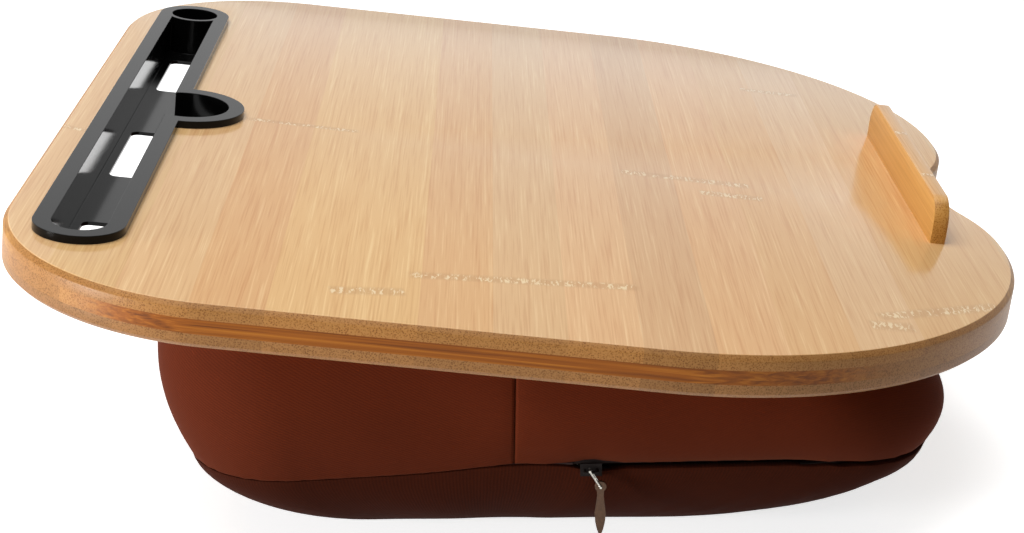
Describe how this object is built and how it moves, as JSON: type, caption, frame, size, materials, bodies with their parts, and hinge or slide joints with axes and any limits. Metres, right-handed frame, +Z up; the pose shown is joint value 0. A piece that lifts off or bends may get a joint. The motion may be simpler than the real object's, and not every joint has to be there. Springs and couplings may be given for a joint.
{
  "type": "lap desk",
  "caption": "Lap desk: bamboo board with belly cut-out, black organiser tray, stop ledge and a wedge cushion with a zipped cover.",
  "frame": {"origin": "centre of the footprint on the floor the cushion rests on", "axes": "+X to the user's right, +Y from the user to the tray edge, +Z up; the deck slopes 6.3 degrees down towards the user"},
  "size_m": [0.418, 0.3634, 0.1216],
  "materials": {
    "bamboo_face": "satin lacquer, fine pale grain across the deck",
    "bamboo_core": "satin lacquer, darker grain from front to rear",
    "bamboo_ledge": "satin lacquer, grain along the ledge",
    "black_plastic": "satin moulded",
    "cover_fabric": "tight plain weave, rust brown",
    "base_fabric": "fine ribs, dark rust brown",
    "lining": "plain undyed cloth",
    "fibre": "soft filling",
    "hook_and_loop": "woven strip with hooks or loops",
    "zip_tape": "twill tape",
    "zip_coil": "moulded coil",
    "steel": "plain",
    "zip_metal_dark": "dark satin",
    "pull_metal": "warm grey satin"
  },
  "bodies": {
    "desk": {"deck_top_ply": "bamboo_face", "deck_core_ply": "bamboo_core", "deck_bottom_ply": "bamboo_face", "stop_ledge": "bamboo_ledge", "ledge_screws": "steel", "organiser_tray": "black_plastic", "hook_strips": "hook_and_loop", "loop_strips": "hook_and_loop", "cover_top_panel": "cover_fabric", "cover_rear_boxing": "cover_fabric", "cover_front_boxing": "cover_fabric", "cover_bottom_panel": "base_fabric", "cover_seam_allowance": "base_fabric", "inner_case_upper": "lining", "inner_case_lower": "lining", "fibre_filling": "fibre", "zip_tape_upper": "zip_tape", "zip_tape_lower": "zip_tape", "zip_coil_upper": "zip_coil", "zip_coil_lower": "zip_coil", "zip_end_stops": "steel"},
    "slider": {"zip_slider": "zip_metal_dark"},
    "link": {"zip_link": "steel"},
    "pull": {"zip_pull": "pull_metal"}
  },
  "joints": [
    {"name": "zip_slide", "type": "slide", "parent": "desk", "child": "slider", "axis": [0, -0.9998, 0.019], "range_m": [0, 0.06]},
    {"name": "link_flap", "type": "hinge", "parent": "slider", "child": "link", "pos_m": [-0.17372, -0.02027, 0.03669], "axis": [0, 0.9998, -0.019], "range_deg": [0, 80]},
    {"name": "pull_swing", "type": "hinge", "parent": "link", "child": "pull", "pos_m": [-0.17372, -0.02345, 0.0316], "axis": [1, 0, 0], "range_deg": [-75, 75]}
  ]
}
